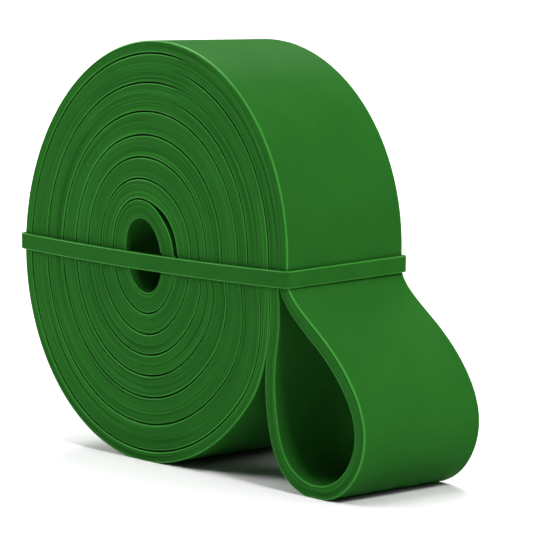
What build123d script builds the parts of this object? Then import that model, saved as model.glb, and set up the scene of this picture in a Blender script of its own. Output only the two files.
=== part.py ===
from build123d import *
import math
import os

# A rolled-up resistance band. One closed loop of flat rubber strip is pressed flat into two halves and
# rolled up around an open eye. Its last bend stands out of the roll as an end loop, and a thin elastic
# strap around the roll keeps it rolled. Millimetres and degrees; X to the end loop, Y along the roll's
# axis, Z up. Every profile is drawn about the roll's axis and moved to the object's own origin at the end.

# Driving dimensions
BAND_WIDTH = 45.0
ROLL_RADIUS = 63.1
ROLL_OVALNESS = 0.033  # share of the radius that the oval roll gains along its lean and loses across it
ROLL_LEAN = 54.0  # long axis of the roll, from +X towards +Z
EYE_CENTRE = (-2.8, -1.1)
EYE_SEMI_AXES = (8.4, 11.4)
EYE_LEAN = 18.0  # the eye's axes, turned from X and Z
TURNS = 7  # turns that the doubled strip makes around the eye
INNER_TIGHTNESS = 0.92  # thickness of the inner turns, as a share of the mean
SLACK_TURNS = (0.6, 1.0)  # part of the way from the eye to the outside that takes up what they save
HALVES_GAP = 0.16  # between the two halves of the loop
TURNS_GAP = 0.10  # between one turn and the next
CRESCENT_GAP = 1.5  # opening inside the first turn
CRESCENT_OPENS = (262.0, 305.0)  # where it opens and closes, counted from the start of the first turn
CRESCENT_CLOSES = (362.0, 385.0)
FOLD_ANGLE = 28.0  # where the strip folds back beside the eye, clockwise from +X
FOLD_DEPTH = 0.75  # of the round fold, as a share of half its height
CLIMB_INNER = (-5.0, 22.0)  # where the first turn climbs over the fold, clockwise from +X
CLIMB_OUTER = (-4.0, 42.0)  # where the last turn climbs
FOOT_DEPTH = 0.25  # how far the roll's weight flattens it on a table

LOOP_THICKNESS = 4.2
NECK_THICKNESS = 3.3  # each half of the strip, squeezed under the strap
LOOP_CLEARANCE = 0.45  # between the end loop and the roll that it hangs beside
LOOP_BESIDE_ROLL = (15.0, 24.0)  # angles at which the strip still lies along the roll
LOOP_SHOULDER = ((17.5, -12.4), (8.0, -5.7))  # where the outer side swings away, X and Z from the neck
NECK = (59.5, -6.5)  # where the end loop bends, as X and Z from the roll's axis
KNUCKLE_RADIUS = 3.6
KNUCKLE_CLEARANCE = 0.35
BELLY_CENTRE = (74.8, -43.1)
BELLY_RADIUS = 18.8  # to the middle of the strip
BELLY_ANGLES = range(180, 406, 45)  # from its left side, through its lowest point, to above its right side
NECK_DIRECTIONS = ((0, 0, -1), (-0.8, 0, 0.6))  # the strip's, out of the neck and back into it
LOOP_SWELL = 0.15  # share of the end loop's length over which it swells to its full thickness
LOOP_SECTIONS = 48

STRAP_HEIGHT = 5.0
STRAP_THICKNESS = 1.2
STRAP_CLEARANCE = 0.3
STRAP_CENTRE_Z = -1.3
STRAP_CORNER_RADIUS = 1.2

# Numbers that follow from them
STRANDS = 2 * TURNS + 1  # layers of strip between the eye and the outside
HALF_WIDTH = BAND_WIDTH / 2
FIRST_ANGLE = -60.0  # where each turn is taken to start, clockwise from +X
ARC_ANGLE = 12.0  # of each arc in a spiral face
NECK_ANGLE = math.degrees(math.atan2(-NECK[1], NECK[0]))  # clockwise from +X


def smooth(value, low, high):
    """0 below low, 1 above high and an even S between them."""
    share = min(max((value - low) / (high - low), 0.0), 1.0)
    return share * share * (3 - 2 * share)


def roll_radius(angle):
    """Outer radius of the roll at an angle clockwise from +X."""
    return ROLL_RADIUS * (1 + ROLL_OVALNESS * math.cos(math.radians(2 * (angle + ROLL_LEAN))))


def eye_radius(angle):
    """Distance from the roll's axis to the edge of the eye, an ellipse off the axis."""
    turn = math.radians(-angle - EYE_LEAN)
    shift = math.radians(-EYE_LEAN)
    across, along = EYE_SEMI_AXES
    ray = (math.cos(turn) / across, math.sin(turn) / along)
    start = (
        -(EYE_CENTRE[0] * math.cos(shift) - EYE_CENTRE[1] * math.sin(shift)) / across,
        -(EYE_CENTRE[0] * math.sin(shift) + EYE_CENTRE[1] * math.cos(shift)) / along,
    )
    square = ray[0] ** 2 + ray[1] ** 2
    half = start[0] * ray[0] + start[1] * ray[1]
    return (-half + math.sqrt(half**2 - square * (start[0] ** 2 + start[1] ** 2 - 1))) / square


def radius_at(level, angle):
    """Radius of a level in the stack: 0 is the eye's edge and STRANDS the roll's outside."""
    eye = eye_radius(angle)
    share = INNER_TIGHTNESS * level / STRANDS + (1 - INNER_TIGHTNESS) * smooth(level / STRANDS, *SLACK_TURNS)
    return eye + (roll_radius(angle) - eye) * share


def climb(turn, angle):
    """How far a turn has climbed over the turn below, from 0 to 1."""
    if turn > TURNS:
        return 0.0
    inner = smooth(angle, *CLIMB_INNER)
    outer = smooth(angle, *CLIMB_OUTER)
    return inner + (outer - inner) * (turn - 1) / (TURNS - 1)


def outer_level(turn, angle):
    """Level of the outer face of a turn; turn 1 starts as the closed ring around the eye."""
    return 2 * turn - 1 + 2 * climb(turn, angle)


def middle_level(turn, angle):
    """Level between the two halves of a turn."""
    if turn == 1:
        return outer_level(1, angle) - 1
    return (outer_level(turn - 1, angle) + outer_level(turn, angle)) / 2


def crescent(total):
    """Opening between the halves where the first turn ends, at an angle counted over all turns."""
    return CRESCENT_GAP * smooth(total, *CRESCENT_OPENS) * (1 - smooth(total, *CRESCENT_CLOSES))


def split(total):
    """Turn number, and angle clockwise from +X within it, of an angle counted over all turns."""
    turn = int((total - FIRST_ANGLE) // 360) + 1
    return turn, total - 360 * (turn - 1)


def point(radius, angle):
    """The point at a radius and a clockwise angle, in the XZ plane."""
    return (radius * math.cos(math.radians(angle)), 0, -radius * math.sin(math.radians(angle)))


def outer_half_outside(total):
    """Outer face of the outer half, and of the closed ring that it becomes around the eye."""
    turn, angle = split(total)
    level = outer_level(turn, angle) if total > CLIMB_INNER[0] else 1
    return point(radius_at(level, angle) - crescent(total + 360) / 2 - TURNS_GAP / 2, angle)


def outer_half_inside(total):
    turn, angle = split(total)
    if total <= CLIMB_INNER[0]:
        return point(eye_radius(angle), angle)
    return point(radius_at(middle_level(turn, angle), angle) + crescent(total) / 3 + HALVES_GAP / 2, angle)


def inner_half_outside(total):
    turn, angle = split(total)
    below = 1 if turn == 1 else outer_level(turn - 1, angle)
    return point(radius_at(below, angle) - crescent(total) / 2 + TURNS_GAP / 2, angle)


def inner_half_inside(total):
    turn, angle = split(total)
    return point(radius_at(middle_level(turn, angle), angle) - crescent(total) * 2 / 3 - HALVES_GAP / 2, angle)


def arcs(place, first, last):
    """Arcs end to end through place(angle), which meet at whole multiples of ARC_ANGLE."""
    low, high = min(first, last), max(first, last)
    inside = range(math.ceil((low + 1) / ARC_ANGLE), math.floor((high - 1) / ARC_ANGLE) + 1)
    joints = [low, *[k * ARC_ANGLE for k in inside], high]
    if first > last:
        joints.reverse()
    return [ThreePointArc(place(a), place((a + b) / 2), place(b)) for a, b in zip(joints, joints[1:])]


def fold_tip():
    """Innermost point of the round fold beside the eye."""
    radius = radius_at(1, FOLD_ANGLE)
    half_height = (radius_at(2, FOLD_ANGLE) - radius_at(0, FOLD_ANGLE)) / 2
    return point(radius, FOLD_ANGLE - math.degrees(FOLD_DEPTH * half_height / radius))


def rolled_strip():
    """The strip in the roll, from one end at the neck to the other, as one long closed outline."""
    last = 360 * TURNS + NECK_ANGLE
    ring_end = FOLD_ANGLE - 360
    outer_out = arcs(outer_half_outside, last, ring_end)
    outer_in = arcs(outer_half_inside, last, ring_end)
    inner_out = arcs(inner_half_outside, FOLD_ANGLE, last)
    inner_in = arcs(inner_half_inside, FOLD_ANGLE, last)
    closing = [
        Line(outer_out[-1] @ 1, inner_out[0] @ 0),
        Line(inner_out[-1] @ 1, inner_in[-1] @ 1),
        ThreePointArc(outer_in[-1] @ 1, fold_tip(), inner_in[0] @ 0),
        Line(outer_in[0] @ 0, outer_out[0] @ 0),
    ]
    edges = outer_out + outer_in + inner_out + inner_in + closing
    return extrude(Face(Wire(edges)), amount=HALF_WIDTH, both=True)


def block(x_low, x_high, z_low, z_high):
    """A block across the whole band, for cutting."""
    size = (x_high - x_low, 2 * BAND_WIDTH, z_high - z_low)
    return Pos((x_low + x_high) / 2, 0, (z_low + z_high) / 2) * Box(*size)


def neck_cylinder(radius, length):
    return Pos(NECK[0], 0, NECK[1]) * Rot(90, 0, 0) * Cylinder(radius, length)


def floor_level():
    """Height of the table under the roll's axis."""
    quarter_degrees = range(4 * 70, 4 * 120)
    lowest = max(roll_radius(a / 4) * math.sin(math.radians(a / 4)) for a in quarter_degrees)
    return FOOT_DEPTH - lowest


def rolled_band():
    """Roll, cut flat on its foot and open around the end loop's knuckle."""
    foot = block(-ROLL_RADIUS, ROLL_RADIUS, -2 * ROLL_RADIUS, floor_level())
    return rolled_strip() - [foot, neck_cylinder(KNUCKLE_RADIUS + KNUCKLE_CLEARANCE, 2 * BAND_WIDTH)]


def loop_middle_line():
    """Middle of the strip around the end loop, from its roll side to its outer side."""
    gap = LOOP_CLEARANCE + LOOP_THICKNESS / 2
    beside = [point(radius_at(outer_level(TURNS, a), a) + gap, a) for a in LOOP_BESIDE_ROLL]
    belly = []
    for angle in BELLY_ANGLES:
        slant = math.radians(angle)
        belly.append((BELLY_CENTRE[0] + BELLY_RADIUS * math.cos(slant), 0,
                      BELLY_CENTRE[1] + BELLY_RADIUS * math.sin(slant)))
    side = NECK_THICKNESS / 2 + HALVES_GAP / 2
    start = (NECK[0] - side, 0, NECK[1])
    end = (NECK[0] + side, 0, NECK[1])
    shoulder = [(NECK[0] + x, 0, NECK[1] + z) for x, z in LOOP_SHOULDER]
    return Spline(start, *beside, *belly, *shoulder, end, tangents=NECK_DIRECTIONS)


def end_loop():
    """The strip's last bend, with the knuckle that it hinges on."""
    line = loop_middle_line()
    left, right = [], []
    for i in range(LOOP_SECTIONS + 1):
        share = i / LOOP_SECTIONS
        swell = smooth(min(share, 1 - share), 0, LOOP_SWELL)
        thickness = NECK_THICKNESS + (LOOP_THICKNESS - NECK_THICKNESS) * swell
        along = line % share
        across = Vector(along.Z, 0, -along.X) * (thickness / 2)
        left.append(line @ share + across)
        right.append(line @ share - across)
    edges = [Spline(*left), Line(left[-1], right[-1]), Spline(*right), Line(right[0], left[0])]
    strip = extrude(Face(Wire(edges)), amount=HALF_WIDTH, both=True)
    body = strip + neck_cylinder(KNUCKLE_RADIUS, BAND_WIDTH)
    return body - block(0, 2 * ROLL_RADIUS, -2 * ROLL_RADIUS, floor_level())


def retaining_strap():
    """Thin flat elastic ring around the roll, across the eye and over the neck."""
    reach = max(roll_radius(a) * math.cos(math.radians(a)) for a in range(-20, 21)) + STRAP_CLEARANCE
    length = 2 * reach
    depth = BAND_WIDTH + 2 * STRAP_CLEARANCE
    outer = RectangleRounded(length + 2 * STRAP_THICKNESS, depth + 2 * STRAP_THICKNESS,
                             STRAP_CORNER_RADIUS + STRAP_THICKNESS)
    inner = RectangleRounded(length, depth, STRAP_CORNER_RADIUS)
    ring = extrude(outer - inner, amount=STRAP_HEIGHT / 2, both=True)
    return Pos(0, 0, STRAP_CENTRE_Z) * ring


def main():
    nodes = {
        "rolled_band": rolled_band(),
        "end_loop": end_loop(),
        "retaining_strap": retaining_strap(),
    }
    boxes = [solid.bounding_box() for solid in nodes.values()]
    left = min(box.min.X for box in boxes)
    right = max(box.max.X for box in boxes)
    origin = Pos(-(left + right) / 2, 0, -floor_level())
    os.makedirs("parts", exist_ok=True)
    for name, solid in nodes.items():
        export_step(origin * solid, os.path.join("parts", name + ".step"))
    print("roll axis at", origin.position)


main()
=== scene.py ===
import math

import bpy
import numpy as np
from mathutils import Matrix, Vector


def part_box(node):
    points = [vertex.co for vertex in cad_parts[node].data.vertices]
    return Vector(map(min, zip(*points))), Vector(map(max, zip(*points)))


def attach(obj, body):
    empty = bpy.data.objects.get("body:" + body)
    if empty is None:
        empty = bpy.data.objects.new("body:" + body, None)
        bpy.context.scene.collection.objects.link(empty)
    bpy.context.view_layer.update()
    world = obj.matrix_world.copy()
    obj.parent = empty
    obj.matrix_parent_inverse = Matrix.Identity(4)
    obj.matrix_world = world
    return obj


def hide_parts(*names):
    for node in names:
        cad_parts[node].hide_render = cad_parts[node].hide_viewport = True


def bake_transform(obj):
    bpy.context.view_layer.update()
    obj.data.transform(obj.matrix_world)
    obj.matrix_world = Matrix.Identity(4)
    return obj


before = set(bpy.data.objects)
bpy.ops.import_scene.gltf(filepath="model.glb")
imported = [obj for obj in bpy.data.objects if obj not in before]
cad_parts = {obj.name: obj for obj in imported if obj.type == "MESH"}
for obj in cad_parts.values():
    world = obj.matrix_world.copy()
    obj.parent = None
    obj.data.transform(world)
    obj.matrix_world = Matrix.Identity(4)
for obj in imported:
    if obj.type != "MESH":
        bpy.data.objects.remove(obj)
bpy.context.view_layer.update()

# A rolled resistance band: one closed loop of flat rubber strip, pressed flat into two halves and
# rolled up around an open eye, with its last bend standing out as an end loop and a thin strap around
# it. Metres. Angles around the roll are in degrees, clockwise from +X as seen from the front.

MM = 0.001

# Places from the frame
roll_low, roll_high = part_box("rolled_band")
strap_low, strap_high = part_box("retaining_strap")
HALF_WIDTH = (roll_high.y - roll_low.y) / 2
ROLL_RADIUS = 63.1 * MM
TOP_SHARE = 1.0121  # top of the oval roll, as a share of its mean radius
CAD_TURNS_GAP = 0.10 * MM
AXIS_X = (roll_low.x + roll_high.x) / 2
AXIS_Z = roll_high.z - TOP_SHARE * ROLL_RADIUS + CAD_TURNS_GAP / 2
FLOOR_Z = 0.0
FLOOR_CLEARANCE = 0.05 * MM

# The roll
ROLL_OVALNESS = 0.033
ROLL_LEAN = 54.0
EYE_CENTRE = (-3.7 * MM, -1.1 * MM)
EYE_SEMI_AXES = (8.4 * MM, 11.4 * MM)
EYE_LEAN = 18.0
TURNS = 7
STRANDS = 2 * TURNS + 1
TURN_START = -60  # a turn's angle runs from here to 300
INNER_TIGHTNESS = 0.92  # thickness of the inner turns, as a share of the mean
SLACK_TURNS = (0.6, 1.0)  # part of the way from the eye to the outside that takes up what they save
CLIMB_INNER = (-5.0, 22.0)  # where the innermost turn climbs over the one below
CLIMB_OUTER = (-4.0, 42.0)  # where the outermost one does
STATION_STEP = 2.5
SEAM_ANGLE = 1.2  # where the end loop's own mesh takes over, behind the strap
BARE_TURN = (330.0, 370.0)  # before the outer end, where the outside face comes out from under a turn
BACK_SAG = 1.3 * MM  # how much lower the roll's top is at the back than at the front

# The joints in it
OPEN_GAP = 0.52 * MM  # a joint that shows as a dark line
SHUT_GAP = 0.006 * MM  # one pressed shut
JOINT_BULGE = (OPEN_GAP - SHUT_GAP) / 2  # shuts an open joint in the middle of the strip's width
SWAP_ANGLES = (278.0, 296.0)  # where the open joint moves from inside a late turn to below it
LAST_OPEN = (280.0, 320.0)  # before the outer end, where the last of those joints shuts
STRAP_COVERS = (-2.0, 4.0)  # angles that the strap hides

# The crescent and the fold beside the eye
CRESCENT_GAP = 1.5 * MM
CRESCENT_OUTER = 1 / 3  # share of it that is cut out of the outer half
CRESCENT_OPENS = (262.0, 305.0)
CRESCENT_CLOSES = (362.0, 385.0)
FOLD_ANGLE = 28.0
FOLD_DEPTH = 0.75  # as a share of its half height
FOLD_SWING = range(-80, 81, 10)  # of the inside face around the fold's tip
FOLD_TIP = 0.2  # how far around the roll the outside face reaches at the tip

# Edges of the strip
EDGE_OUTSIDE = 0.36 * MM  # rounding of an edge on the roll's outside
EDGE_OPEN = 0.28 * MM  # beside an open joint
EDGE_SHUT = 0.02 * MM  # beside one pressed shut
EDGE_FULL = 0.48 * MM  # a rounding that gets all of the painted highlight on its edge
EDGE_MARGIN = 0.12 * MM  # next to a rounded edge, over which its painted highlight fades out
EDGE_STEPS = 4
RECESS = 0.45 * MM  # how far the innermost turns sit back from the outermost on the side faces
RECESS_DEEPEST = 225.0  # where around the roll they sit back the most
RECESS_EVEN = 0.35  # share of it that is the same all round
RECESS_STEP = 0.12  # share of a turn over which it changes from one turn to the next
RECESS_POWER = 3  # keeps most of it in the inner turns

# The end loop
LOOP_THICKNESS = 4.2 * MM
LOOP_CLEARANCE = 0.12 * MM
LOOP_BESIDE_ROLL = (8.0, 16.0, 25.0)
BELLY_CENTRE = (74.8 * MM, -43.1 * MM)
BELLY_RADIUS = 18.8 * MM
BELLY_ANGLES = range(180, 406, 45)
LOOP_SHOULDER = ((77.0 * MM, -18.9 * MM), (67.4 * MM, -11.7 * MM))
LOOP_SWELL = 0.12  # share of its length over which it swells from the neck's thickness
LOOP_STATIONS = 150

# The strap
STRAP_THICKNESS = 1.2 * MM
STRAP_EDGE = 0.28 * MM
STRAP_CORNER = 1.3 * MM
STRAP_CORNER_STEPS = 8
STRAP_SIDE_STEPS = 24
STRAP_SAG = 0.9 * MM  # of its middle across the front and back
STRAP_TILT = 0.5 * MM  # the back higher than the middle, the front lower

# The rubber
GREEN = (0.0130, 0.083, 0.0105)
CLOUD_GAIN = 1.12  # the lighter clouds in it
CLOUD_RANGE = (0.3, 0.7)
PAINTED_EDGE_HIGHLIGHT = (2.8, 2.7, 2.6)  # painted highlight: rounded edges are painted a little lighter, as if catching the light
SHINE = (0.006, 0.10)  # specular level of the faces and of the edges
SHINE_TINT = (0.45, 1.0, 0.35, 1)
ROUGHNESS = (0.50, 0.30)  # of the faces and of the edges
GRAIN_ROUGHNESS = 0.06
GRAIN_RELIEF = 0.12
SIDE_POWER = 3.0  # keeps the plies to the side faces
PLY_SCALES = (9.0, 2100.0)  # along the strip and across its thickness
PLY_RANGE = (0.38, 0.5, 0.62)
PATCH_SCALES = (14.0, 350.0)  # of the patches where plies show
PATCH_RANGE = (0.38, 0.56)
RELIEF_STRENGTH = 0.35
RELIEF_DEPTH = 0.25 * MM
BAND_RUBBER = (60.0, 900.0, 0.45)  # scales of clouds and grain, contrast of plies
STRAP_RUBBER = (120.0, 1400.0, 0.0)

# The studio. The camera's lengths are shares of the roll's radius.
CAMERA_AZIMUTH = 49.38
CAMERA_ELEVATION = 7.3
CAMERA_DISTANCE = 15.361
CAMERA_TARGET = (0.841, 0.016)
CAMERA_LENS = 227.5
CAMERA_SENSOR = 36
CAMERA_CLIP = (0.01, 20)
CAMERA_SHIFT = (0.00225, 0.0006)
FLOOR_REACH = 6.0
FLOOR_WHITE = (0.70, 0.70, 0.70)
FLOOR_ROUGHNESS = 0.9
WORLD_STRENGTH = 0.11
LIGHT_AIM = (AXIS_X + 0.03, 0.0, AXIS_Z)
LIGHTS = (  # name, place, aim, size, power
    ("key", (1.05, -0.12, 1.05), LIGHT_AIM, 0.28, 16.0),
    ("fill", (-1.1, -0.8, 0.7), LIGHT_AIM, 0.6, 21.5),
    ("top", (0.1, 0.1, 1.6), LIGHT_AIM, 1.2, 17.0),
    ("background_near", (-0.8, 0.8, 1.4), (-0.9, 0.9, 0.0), 1.0, 24.0),
    ("background_far", (-1.9, 1.7, 2.4), (-1.9, 1.7, 0.0), 1.6, 100.0),
    ("rim", (0.75, 0.55, 0.60), LIGHT_AIM, 0.5, 3.0),
)


# ---------------------------------------------------------------- the roll's layers


def between(low, high, share):
    return low + (high - low) * share


def smooth(value, low, high):
    """0 below low, 1 above high and an even S between them."""
    share = min(max((value - low) / (high - low), 0.0), 1.0)
    return share * share * (3 - 2 * share)


def roll_radius(angle):
    return ROLL_RADIUS * (1 + ROLL_OVALNESS * math.cos(math.radians(2 * (angle + ROLL_LEAN))))


def eye_radius(angle):
    """Distance from the roll's axis to the edge of the eye, an ellipse off the axis."""
    turn = math.radians(-angle - EYE_LEAN)
    shift = math.radians(-EYE_LEAN)
    across, along = EYE_SEMI_AXES
    ray = (math.cos(turn) / across, math.sin(turn) / along)
    start = (
        -(EYE_CENTRE[0] * math.cos(shift) - EYE_CENTRE[1] * math.sin(shift)) / across,
        -(EYE_CENTRE[0] * math.sin(shift) + EYE_CENTRE[1] * math.cos(shift)) / along,
    )
    square = ray[0] ** 2 + ray[1] ** 2
    half = start[0] * ray[0] + start[1] * ray[1]
    return (-half + math.sqrt(half**2 - square * (start[0] ** 2 + start[1] ** 2 - 1))) / square


def radius_at(level, angle):
    """Radius of a level in the stack: 0 is the eye's edge and STRANDS the roll's outside."""
    eye = eye_radius(angle)
    slack = (1 - INNER_TIGHTNESS) * smooth(level / STRANDS, *SLACK_TURNS)
    return eye + (roll_radius(angle) - eye) * (INNER_TIGHTNESS * level / STRANDS + slack)


def climb(turn, angle):
    """How far a turn has climbed over the turn below, from 0 to 1."""
    if turn > TURNS:
        return 0.0
    inner = smooth(angle, *CLIMB_INNER)
    outer = smooth(angle, *CLIMB_OUTER)
    return inner + (outer - inner) * (turn - 1) / (TURNS - 1)


def outer_level(turn, angle):
    """Level of the outer half's outside face."""
    return 2 * turn - 1 + 2 * climb(turn, angle)


def middle_level(turn, angle):
    """Level of the joint between the two halves."""
    if turn == 1:
        return outer_level(1, angle) - 1
    return (outer_level(turn - 1, angle) + outer_level(turn, angle)) / 2


def crescent(total):
    """Width of the crescent, at an angle counted over all turns."""
    return CRESCENT_GAP * smooth(total, *CRESCENT_OPENS) * (1 - smooth(total, *CRESCENT_CLOSES))


def split(total):
    """Turn number and the angle within it, of an angle counted over all turns."""
    turn = int((total - TURN_START) // 360) + 1
    return turn, total - 360 * (turn - 1)


def point(radius, angle):
    """A point of the XZ plane, from its distance from the roll's axis and its clockwise angle."""
    slant = math.radians(angle)
    return (AXIS_X + radius * math.cos(slant), AXIS_Z - radius * math.sin(slant))


def past_swap(total, turns):
    """How far past the swap an angle is, from 0 to 1, once this many turns are done."""
    return smooth(total - 360 * turns, *SWAP_ANGLES)


def behind_strap(total, turns):
    """1 before the strap that ends this many turns, 0 after it."""
    return 1 - smooth(total - 360 * turns, *STRAP_COVERS)


def halves_open(total):
    """How open the joint between the two halves is: shut at the end of the last two turns."""
    last = past_swap(total, TURNS - 1)
    before = past_swap(total, TURNS - 2) * behind_strap(total, TURNS - 1)
    return (1 - last) * (1 - before)


def turns_open(total):
    """How open the joint is between the outer half here and the inner half of the next turn."""
    to_go = 360 * TURNS - total
    last = past_swap(total, TURNS - 2) * smooth(to_go, *LAST_OPEN)
    before = past_swap(total, TURNS - 3) * behind_strap(total, TURNS - 2)
    return last + before


def outer_half(total):
    """(outside, inside) faces of the doubled strip's outer half, and of the ring around the eye."""
    turn, angle = split(total)
    in_ring = total <= CLIMB_INNER[0]
    level = 1 if in_ring else outer_level(turn, angle)
    gap = between(SHUT_GAP, OPEN_GAP, turns_open(total))
    outside = radius_at(level, angle) - crescent(total + 360) / 2 - gap / 2
    if in_ring:
        return point(outside, angle), point(eye_radius(angle), angle)
    gap = between(SHUT_GAP, OPEN_GAP, halves_open(total))
    inside = radius_at(middle_level(turn, angle), angle) + crescent(total) * CRESCENT_OUTER + gap / 2
    return point(outside, angle), point(inside, angle)


def inner_half(total):
    """(outside, inside) faces of the doubled strip's inner half."""
    turn, angle = split(total)
    below = 1 if turn == 1 else outer_level(turn - 1, angle)
    gap = between(SHUT_GAP, OPEN_GAP, turns_open(total - 360))
    outside = radius_at(below, angle) - crescent(total) / 2 + gap / 2
    gap = between(SHUT_GAP, OPEN_GAP, halves_open(total))
    cut = crescent(total) * (1 - CRESCENT_OUTER)
    inside = radius_at(middle_level(turn, angle), angle) - cut - gap / 2
    return point(outside, angle), point(inside, angle)


def fold():
    """Stations around the fold beside the eye: the outside face stays put, the inside one swings."""
    hinge = radius_at(1, FOLD_ANGLE)
    half_height = (radius_at(2, FOLD_ANGLE) - radius_at(0, FOLD_ANGLE)) / 2
    reach = math.degrees(FOLD_DEPTH * half_height / hinge)
    stations = []
    for slant in FOLD_SWING:
        swing = math.radians(slant)
        angle = FOLD_ANGLE - reach * math.cos(swing)
        inside = point(hinge + half_height * math.sin(swing), angle)
        outside = point(hinge + SHUT_GAP / 2 * math.sin(swing), FOLD_ANGLE - FOLD_TIP * math.cos(swing))
        stations.append((outside, inside))
    return stations


def steps(first, last, step):
    """Even steps from first to last, near the given step."""
    count = max(2, round(abs(last - first) / step))
    return [first + (last - first) * i / count for i in range(count + 1)]


def recess(turns):
    """How far the side faces sit back, at a number of turns counted along the outer half."""
    whole = math.floor(turns)
    ring = min(max(whole - 1 + smooth(turns - whole, 0.0, RECESS_STEP), 0), TURNS - 1)
    depth = RECESS * (1 - (ring / (TURNS - 1)) ** RECESS_POWER)
    around = (1 + math.cos(math.radians(360 * turns - RECESS_DEEPEST))) / 2
    return depth * between(RECESS_EVEN, 1.0, around)


# ---------------------------------------------------------------- meshes


def rounded_outline(corners, bulges=(0, 0, 0, 0)):
    """Outline, as (x, y, share of a full edge), through corners (x, y, radius, first angle).

    The middle of the side after each corner is moved along x by that corner's bulge."""
    outline = []
    for i, (x, y, radius, first) in enumerate(corners):
        edge = min(radius / EDGE_FULL, 1)
        for step in range(EDGE_STEPS + 1):
            slant = math.radians(first + 90 * step / EDGE_STEPS)
            outline.append((x + radius * math.cos(slant), y + radius * math.sin(slant), edge))
        start = outline[-1]
        x, y, radius, first = corners[(i + 1) % len(corners)]
        end = (x + radius * math.cos(math.radians(first)), y + radius * math.sin(math.radians(first)))
        margin = EDGE_MARGIN / math.dist(start[:2], end)
        for share, bulge in ((margin, 0), (0.5, bulges[i]), (1 - margin, 0)):
            outline.append((between(start[0], end[0], share) + bulge,
                            between(start[1], end[1], share), 0.0))
    return outline


def strip_section(thickness, half_width, edge_outside, edge_inside, bulge_outside, bulge_inside):
    """Outline of the strip, as distances from its outside face and from the middle of its width."""
    return rounded_outline((
        (edge_outside, edge_outside - half_width, edge_outside, 180),
        (thickness - edge_inside, edge_inside - half_width, edge_inside, 270),
        (thickness - edge_inside, half_width - edge_inside, edge_inside, 0),
        (edge_outside, half_width - edge_outside, edge_outside, 90),
    ), (0, bulge_inside, 0, -bulge_outside))


def skin(rows, points, closed):
    """Faces between rows of points, each once around; closed joins the last row to the first."""
    faces = []
    for i in range(rows if closed else rows - 1):
        for j in range(points):
            here, there = i * points, (i + 1) % rows * points
            after = (j + 1) % points
            faces.append((here + j, there + j, there + after, here + after))
    return faces


def strip_object(name, coordinates, facts, faces):
    """A mesh of the strip. A point's facts are its length along, its depth and its edge share."""
    mesh = bpy.data.meshes.new(name)
    mesh.from_pydata(coordinates, [], faces)
    attribute = mesh.attributes.new("strip", "FLOAT_VECTOR", "POINT")
    attribute.data.foreach_set("vector", np.array(facts, np.float32).ravel())
    mesh.validate()
    for polygon in mesh.polygons:
        polygon.use_smooth = len(polygon.vertices) == 4
    obj = bpy.data.objects.new(name, mesh)
    bpy.context.scene.collection.objects.link(obj)
    return obj


def sweep(name, stations):
    """A strip through stations, closed by a cap at each end.

    A station is the points on the outside and inside faces, how far the side faces sit back, the
    rounding of the outside and inside edges, and how far the middles of those faces bulge."""
    coordinates, facts = [], []
    length, before = 0.0, None
    for outside, inside, back, *shape in stations:
        middle = (between(outside[0], inside[0], 0.5), between(outside[1], inside[1], 0.5))
        length += math.dist(middle, before or middle)
        before = middle
        across = (inside[0] - outside[0], inside[1] - outside[1])
        thickness = math.hypot(*across)
        for x, y, edge in strip_section(thickness, HALF_WIDTH - back, *shape):
            share = x / thickness
            coordinates.append((outside[0] + across[0] * share, y, outside[1] + across[1] * share))
            facts.append((length, x, edge))
    rows, points = len(stations), len(coordinates) // len(stations)
    faces = skin(rows, points, False)
    faces.append(tuple(range(points)))
    faces.append(tuple(range((rows - 1) * points, rows * points))[::-1])
    return strip_object(name, coordinates, facts, faces)


def strip_shape(outside_open, inside_open, bare=0.0):
    """Rounding of the outside and inside edges and bulge of the faces, from how open the joints are.

    Where the outside face is bare, it has no joint."""
    outside_edge = between(between(EDGE_SHUT, EDGE_OPEN, outside_open), EDGE_OUTSIDE, bare)
    return (outside_edge, between(EDGE_SHUT, EDGE_OPEN, inside_open),
            JOINT_BULGE * outside_open * (1 - bare), JOINT_BULGE * inside_open)


def make_roll():
    """The strip from one end at the neck, in to the eye, around the fold and out to the other end."""
    last = 360 * TURNS + SEAM_ANGLE
    ring_end = FOLD_ANGLE - 360
    stations = []
    for total in steps(last, ring_end, STATION_STEP):
        bare = 1 - smooth(last - total, *BARE_TURN)
        *edges, outside_bulge, inside_bulge = strip_shape(turns_open(total), halves_open(total), bare)
        if total <= CLIMB_INNER[0]:
            inside_bulge = 0.0  # the inside face of the ring is the eye's wall
        stations.append((*outer_half(total), recess(total / 360), *edges, outside_bulge, inside_bulge))
    for outside, inside in fold():
        stations.append((outside, inside, recess(0), EDGE_SHUT, EDGE_OPEN, 0.0, 0.0))
    for total in steps(FOLD_ANGLE, last, STATION_STEP):
        shape = strip_shape(turns_open(total - 360), halves_open(total))
        stations.append((*inner_half(total), recess(total / 360 - 1), *shape))
    roll = sweep("band_roll", stations)
    for vertex in roll.data.vertices:
        back = (vertex.co.y + HALF_WIDTH) / (2 * HALF_WIDTH)
        vertex.co.z -= BACK_SAG * back * smooth(vertex.co.z, AXIS_Z, AXIS_Z + ROLL_RADIUS)
        vertex.co.z = max(vertex.co.z, FLOOR_Z + FLOOR_CLEARANCE)
    return roll


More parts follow.
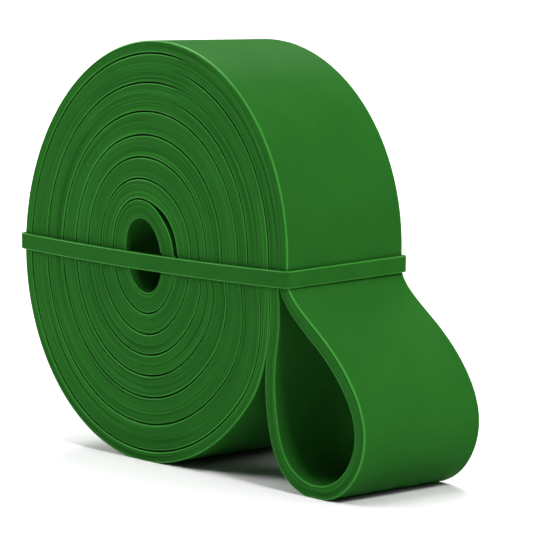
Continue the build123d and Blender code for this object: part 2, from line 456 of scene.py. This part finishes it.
def curve_through(points, start_slope, end_slope, count):
    """Smooth curve through points with given end directions: a cubic spline by chord length."""
    points = np.array(points, float)
    chord = np.linalg.norm(np.diff(points, axis=0), axis=1)
    knots = np.concatenate([[0], np.cumsum(chord)])
    n = len(points)
    matrix = np.zeros((n, n))
    right = np.zeros((n, 2))
    matrix[0, 0] = matrix[-1, -1] = 1
    right[0] = np.array(start_slope) / np.linalg.norm(start_slope)
    right[-1] = np.array(end_slope) / np.linalg.norm(end_slope)
    for i in range(1, n - 1):
        before, after = chord[i - 1], chord[i]
        matrix[i, i - 1: i + 2] = after, 2 * (before + after), before
        step_in, step_out = points[i] - points[i - 1], points[i + 1] - points[i]
        right[i] = 3 * (after * step_in / before + before * step_out / after)
    slopes = np.linalg.solve(matrix, right)
    at = np.linspace(0, knots[-1], count)
    spans = np.clip(np.searchsorted(knots, at, side="right") - 1, 0, n - 2)
    h = chord[spans][:, None]
    t = ((at - knots[spans]) / chord[spans])[:, None]
    p0, p1, m0, m1 = points[spans], points[spans + 1], slopes[spans] * h, slopes[spans + 1] * h
    return p0 + (3 * t**2 - 2 * t**3) * (p1 - p0) + (t**3 - 2 * t**2 + t) * m0 + (t**3 - t**2) * m1


def make_end_loop():
    """The last bend of the strip, from the inner half's end round to the outer half's."""
    seam = 360 * TURNS + SEAM_ANGLE
    outer_end, inner_end = outer_half(seam), inner_half(seam)
    first, last = np.mean(outer_end, axis=0), np.mean(inner_end, axis=0)
    gap = LOOP_CLEARANCE + LOOP_THICKNESS / 2
    beside = [point(radius_at(outer_level(TURNS, a), a) + gap, a) for a in LOOP_BESIDE_ROLL]
    belly = [(AXIS_X + BELLY_CENTRE[0] + BELLY_RADIUS * math.cos(math.radians(a)),
              AXIS_Z + BELLY_CENTRE[1] + BELLY_RADIUS * math.sin(math.radians(a)))
             for a in BELLY_ANGLES]
    shoulder = [(AXIS_X + x, AXIS_Z + z) for x, z in LOOP_SHOULDER]
    down, up = (0, -1), (0, 1)
    line = curve_through([last, *beside, *belly, *shoulder, first], down, up, LOOP_STATIONS)[::-1]
    along = np.gradient(line, axis=0)
    along /= np.linalg.norm(along, axis=1)[:, None]
    across = np.stack([-along[:, 1], along[:, 0]], axis=1)
    stations = []
    for i, (middle, outwards) in enumerate(zip(line, across)):
        share = i / (LOOP_STATIONS - 1)
        swell = smooth(share, 0, LOOP_SWELL) * (1 - smooth(share, 1 - LOOP_SWELL, 1))
        thinnest = math.dist(*(outer_end if share < 0.5 else inner_end))
        half = between(thinnest, LOOP_THICKNESS, swell) / 2
        outside, inside = middle + outwards * half, middle - outwards * half
        outside[1] = max(outside[1], FLOOR_Z + FLOOR_CLEARANCE)
        stations.append((tuple(outside), tuple(inside)))
    stations[0], stations[-1] = outer_end, inner_end
    shape = (0.0, EDGE_OUTSIDE, EDGE_OPEN, 0.0, 0.0)
    return sweep("band_end_loop", [(*pair, *shape) for pair in stations[::-1]])


def strap_path(half_x, half_y):
    """Rounded rectangle around the roll as (x, y, outward x, outward y), one way round."""
    quarters = ((1, -1), (1, 1), (-1, 1), (-1, -1))
    path = []
    for corner_index, (side_x, side_y) in enumerate(quarters):
        centre = (side_x * (half_x - STRAP_CORNER), side_y * (half_y - STRAP_CORNER))
        for i in range(STRAP_CORNER_STEPS + 1):
            slant = math.radians(90 * (corner_index - 1 + i / STRAP_CORNER_STEPS))
            outward = (math.cos(slant), math.sin(slant))
            path.append((centre[0] + STRAP_CORNER * outward[0],
                         centre[1] + STRAP_CORNER * outward[1], *outward))
        next_x, next_y = quarters[(corner_index + 1) % 4]
        start = path[-1]
        end = (next_x * (half_x - STRAP_CORNER) + STRAP_CORNER * outward[0],
               next_y * (half_y - STRAP_CORNER) + STRAP_CORNER * outward[1])
        for i in range(1, STRAP_SIDE_STEPS):
            share = i / STRAP_SIDE_STEPS
            path.append((between(start[0], end[0], share), between(start[1], end[1], share), *outward))
    return path


def strap_section(half_height):
    """Outline of the flat strap, as distances outwards and upwards."""
    low, high = STRAP_EDGE, STRAP_THICKNESS - STRAP_EDGE
    top = half_height - STRAP_EDGE
    return rounded_outline(((low, -top, STRAP_EDGE, 180), (high, -top, STRAP_EDGE, 270),
                            (high, top, STRAP_EDGE, 0), (low, top, STRAP_EDGE, 90)))


def make_strap():
    """Flat elastic ring around the roll, sagging a little across the front and back."""
    half_x = (strap_high.x - strap_low.x) / 2 - STRAP_THICKNESS
    half_y = (strap_high.y - strap_low.y) / 2 - STRAP_THICKNESS
    centre_x = (strap_low.x + strap_high.x) / 2
    centre_z = (strap_low.z + strap_high.z) / 2
    outline = strap_section((strap_high.z - strap_low.z) / 2)
    coordinates, facts = [], []
    length, before = 0.0, None
    for x, y, outward_x, outward_y in strap_path(half_x, half_y):
        length += math.dist((x, y), before or (x, y))
        before = (x, y)
        lift = STRAP_TILT * y / half_y - STRAP_SAG * (1 - (x / half_x) ** 2)
        for outwards, height, edge in outline:
            coordinates.append((centre_x + x + outward_x * outwards, y + outward_y * outwards,
                                centre_z + lift + height))
            facts.append((length, height, edge))
    faces = skin(len(coordinates) // len(outline), len(outline), True)
    return strip_object("strap_ring", coordinates, facts, faces)


# ---------------------------------------------------------------- materials


def new_material(name):
    """A material with its nodes, links and shader."""
    material = bpy.data.materials.new(name)
    material.use_nodes = True
    nodes = material.node_tree.nodes
    links = material.node_tree.links
    nodes.clear()
    shader = nodes.new("ShaderNodeBsdfPrincipled")
    out = nodes.new("ShaderNodeOutputMaterial")
    links.new(shader.outputs["BSDF"], out.inputs["Surface"])
    return material, nodes, links, shader


def maths(nodes, links, operation, a, b=None):
    """Result of an operation on numbers or outputs."""
    node = nodes.new("ShaderNodeMath")
    node.operation = operation
    for i, value in enumerate((a, b)):
        if value is None:
            continue
        if isinstance(value, (int, float)):
            node.inputs[i].default_value = value
        else:
            links.new(value, node.inputs[i])
    return node.outputs[0]


def noise(nodes, links, vector, scale, detail=2.0, roughness=0.5):
    node = nodes.new("ShaderNodeTexNoise")
    node.inputs["Scale"].default_value = scale
    node.inputs["Detail"].default_value = detail
    node.inputs["Roughness"].default_value = roughness
    links.new(vector, node.inputs["Vector"])
    return node.outputs["Fac"]


def ramp(nodes, links, value, stops):
    """Colour of a value, from (position, colour) stops."""
    node = nodes.new("ShaderNodeValToRGB")
    elements = node.color_ramp.elements
    for i, (position, colour) in enumerate(stops):
        element = elements[i] if i < 2 else elements.new(position)
        element.position = position
        element.color = (*colour, 1)
    links.new(value, node.inputs[0])
    return node.outputs[0]


def strip_facts(nodes, links):
    """Length along the strip, depth and edge share, from the mesh."""
    strip = nodes.new("ShaderNodeAttribute")
    strip.attribute_name = "strip"
    facts = nodes.new("ShaderNodeSeparateXYZ")
    links.new(strip.outputs["Vector"], facts.inputs[0])
    return facts.outputs["X"], facts.outputs["Y"], facts.outputs["Z"]


def tinted(nodes, links, colour, amount, tint):
    """The colour multiplied by a tint, by an amount from 0 to 1."""
    mix = nodes.new("ShaderNodeMix")
    mix.data_type = "RGBA"
    mix.blend_type = "MULTIPLY"
    mix.clamp_result = False
    links.new(amount, mix.inputs[0])
    links.new(colour, mix.inputs[6])
    if isinstance(tint, tuple):
        mix.inputs[7].default_value = (*tint, 1)
    else:
        links.new(tint, mix.inputs[7])
    return mix.outputs[2]


def stretched(nodes, links, along, across, along_scale, across_scale):
    """Texture coordinates that run along the strip and across its thickness."""
    vector = nodes.new("ShaderNodeCombineXYZ")
    links.new(maths(nodes, links, "MULTIPLY", along, along_scale), vector.inputs["X"])
    links.new(maths(nodes, links, "MULTIPLY", across, across_scale), vector.inputs["Y"])
    return vector.outputs[0]


def rubber(name, cloud_scale, grain_scale, ply_contrast):
    """Satin rubber: faint clouds, a painted highlight that makes the rounded edges lighter, and thin
    plies along the cut side faces.
    """
    material, nodes, links, shader = new_material(name)
    along, across, edge = strip_facts(nodes, links)
    place = nodes.new("ShaderNodeTexCoord").outputs["Object"]
    facing = nodes.new("ShaderNodeSeparateXYZ")
    links.new(nodes.new("ShaderNodeNewGeometry").outputs["Normal"], facing.inputs[0])
    side = maths(nodes, links, "ABSOLUTE", facing.outputs["Y"])
    side = maths(nodes, links, "POWER", side, SIDE_POWER)

    cloud = noise(nodes, links, place, cloud_scale, detail=3.0)
    clouds = (GREEN, tuple(c * CLOUD_GAIN for c in GREEN))
    colour = ramp(nodes, links, cloud, zip(CLOUD_RANGE, clouds))
    plies = stretched(nodes, links, along, across, *PLY_SCALES)
    plies = noise(nodes, links, plies, 1.0, detail=3.0, roughness=0.6)
    where = stretched(nodes, links, along, across, *PATCH_SCALES)
    where = noise(nodes, links, where, 1.0, detail=1.0)
    where = ramp(nodes, links, where, zip(PATCH_RANGE, ((0, 0, 0), (1, 1, 1))))
    where = maths(nodes, links, "MULTIPLY", where, side)
    contrasts = (1 - ply_contrast, 1, 1 + ply_contrast)
    shades = ramp(nodes, links, plies, [(at, (c, c, c)) for at, c in zip(PLY_RANGE, contrasts)])
    colour = tinted(nodes, links, colour, where, shades)
    # painted highlight: the rounded edges are made lighter in colour
    colour = tinted(nodes, links, colour, edge, PAINTED_EDGE_HIGHLIGHT)
    links.new(colour, shader.inputs["Base Color"])

    grain = noise(nodes, links, place, grain_scale)
    rough = maths(nodes, links, "MULTIPLY", edge, ROUGHNESS[1] - ROUGHNESS[0])
    rough = maths(nodes, links, "ADD", rough, ROUGHNESS[0] - GRAIN_ROUGHNESS / 2)
    rough = maths(nodes, links, "ADD", rough, maths(nodes, links, "MULTIPLY", grain, GRAIN_ROUGHNESS))
    links.new(rough, shader.inputs["Roughness"])
    shine = maths(nodes, links, "MULTIPLY", edge, SHINE[1] - SHINE[0])
    links.new(maths(nodes, links, "ADD", shine, SHINE[0]), shader.inputs["Specular IOR Level"])
    shader.inputs["Specular Tint"].default_value = SHINE_TINT

    relief = maths(nodes, links, "MULTIPLY", plies, where)
    relief = maths(nodes, links, "ADD", relief, maths(nodes, links, "MULTIPLY", grain, GRAIN_RELIEF))
    bump = nodes.new("ShaderNodeBump")
    bump.inputs["Strength"].default_value = RELIEF_STRENGTH
    bump.inputs["Distance"].default_value = RELIEF_DEPTH
    links.new(relief, bump.inputs["Height"])
    links.new(bump.outputs[0], shader.inputs["Normal"])
    return material


def matt(name, colour):
    material, nodes, links, shader = new_material(name)
    shader.inputs["Base Color"].default_value = (*colour, 1)
    shader.inputs["Roughness"].default_value = FLOOR_ROUGHNESS
    shader.inputs["Specular IOR Level"].default_value = 0.0
    return material


# ---------------------------------------------------------------- studio


def make_camera():
    azimuth, elevation = math.radians(CAMERA_AZIMUTH), math.radians(CAMERA_ELEVATION)
    target = Vector((AXIS_X + CAMERA_TARGET[0] * ROLL_RADIUS, -HALF_WIDTH,
                     AXIS_Z + CAMERA_TARGET[1] * ROLL_RADIUS))
    forward = Vector((-math.sin(azimuth) * math.cos(elevation), math.cos(azimuth) * math.cos(elevation),
                      -math.sin(elevation)))
    data = bpy.data.cameras.new("camera")
    data.lens = CAMERA_LENS
    data.sensor_width = CAMERA_SENSOR
    data.clip_start, data.clip_end = CAMERA_CLIP
    data.shift_x, data.shift_y = CAMERA_SHIFT
    obj = bpy.data.objects.new("camera", data)
    obj.location = target - forward * (CAMERA_DISTANCE * ROLL_RADIUS)
    obj.rotation_euler = forward.to_track_quat("-Z", "Y").to_euler()
    bpy.context.scene.collection.objects.link(obj)
    bpy.context.scene.camera = obj


def area_light(name, place, aim, size, power):
    data = bpy.data.lights.new(name, "AREA")
    data.shape = "RECTANGLE"
    data.size = data.size_y = size
    data.energy = power
    obj = bpy.data.objects.new(name, data)
    obj.location = place
    obj.rotation_euler = (Vector(aim) - Vector(place)).to_track_quat("-Z", "Y").to_euler()
    bpy.context.scene.collection.objects.link(obj)


def make_floor():
    mesh = bpy.data.meshes.new("floor")
    corners = ((-FLOOR_REACH, -FLOOR_REACH), (FLOOR_REACH, -FLOOR_REACH),
               (FLOOR_REACH, FLOOR_REACH), (-FLOOR_REACH, FLOOR_REACH))
    mesh.from_pydata([(*corner, FLOOR_Z) for corner in corners], [], [(0, 1, 2, 3)])
    obj = bpy.data.objects.new("floor", mesh)
    bpy.context.scene.collection.objects.link(obj)
    obj.data.materials.append(matt("floor_white", FLOOR_WHITE))


def make_studio():
    make_floor()
    world = bpy.data.worlds.new("studio")
    world.use_nodes = True
    background = world.node_tree.nodes["Background"]
    background.inputs["Color"].default_value = (1, 1, 1, 1)
    background.inputs["Strength"].default_value = WORLD_STRENGTH
    bpy.context.scene.world = world
    for light in LIGHTS:
        area_light(*light)
    view = bpy.context.scene.view_settings
    view.view_transform = "Standard"
    view.look = "None"


# ---------------------------------------------------------------- assembly

make_camera()
make_studio()

band = rubber("band_rubber", *BAND_RUBBER)
roll = make_roll()
roll.data.materials.append(band)
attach(roll, "roll")
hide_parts("rolled_band")

end_loop = make_end_loop()
end_loop.data.materials.append(band)
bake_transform(end_loop)
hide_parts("end_loop")

strap = make_strap()
strap.data.materials.append(rubber("strap_rubber", *STRAP_RUBBER))
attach(strap, "strap")
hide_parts("retaining_strap")
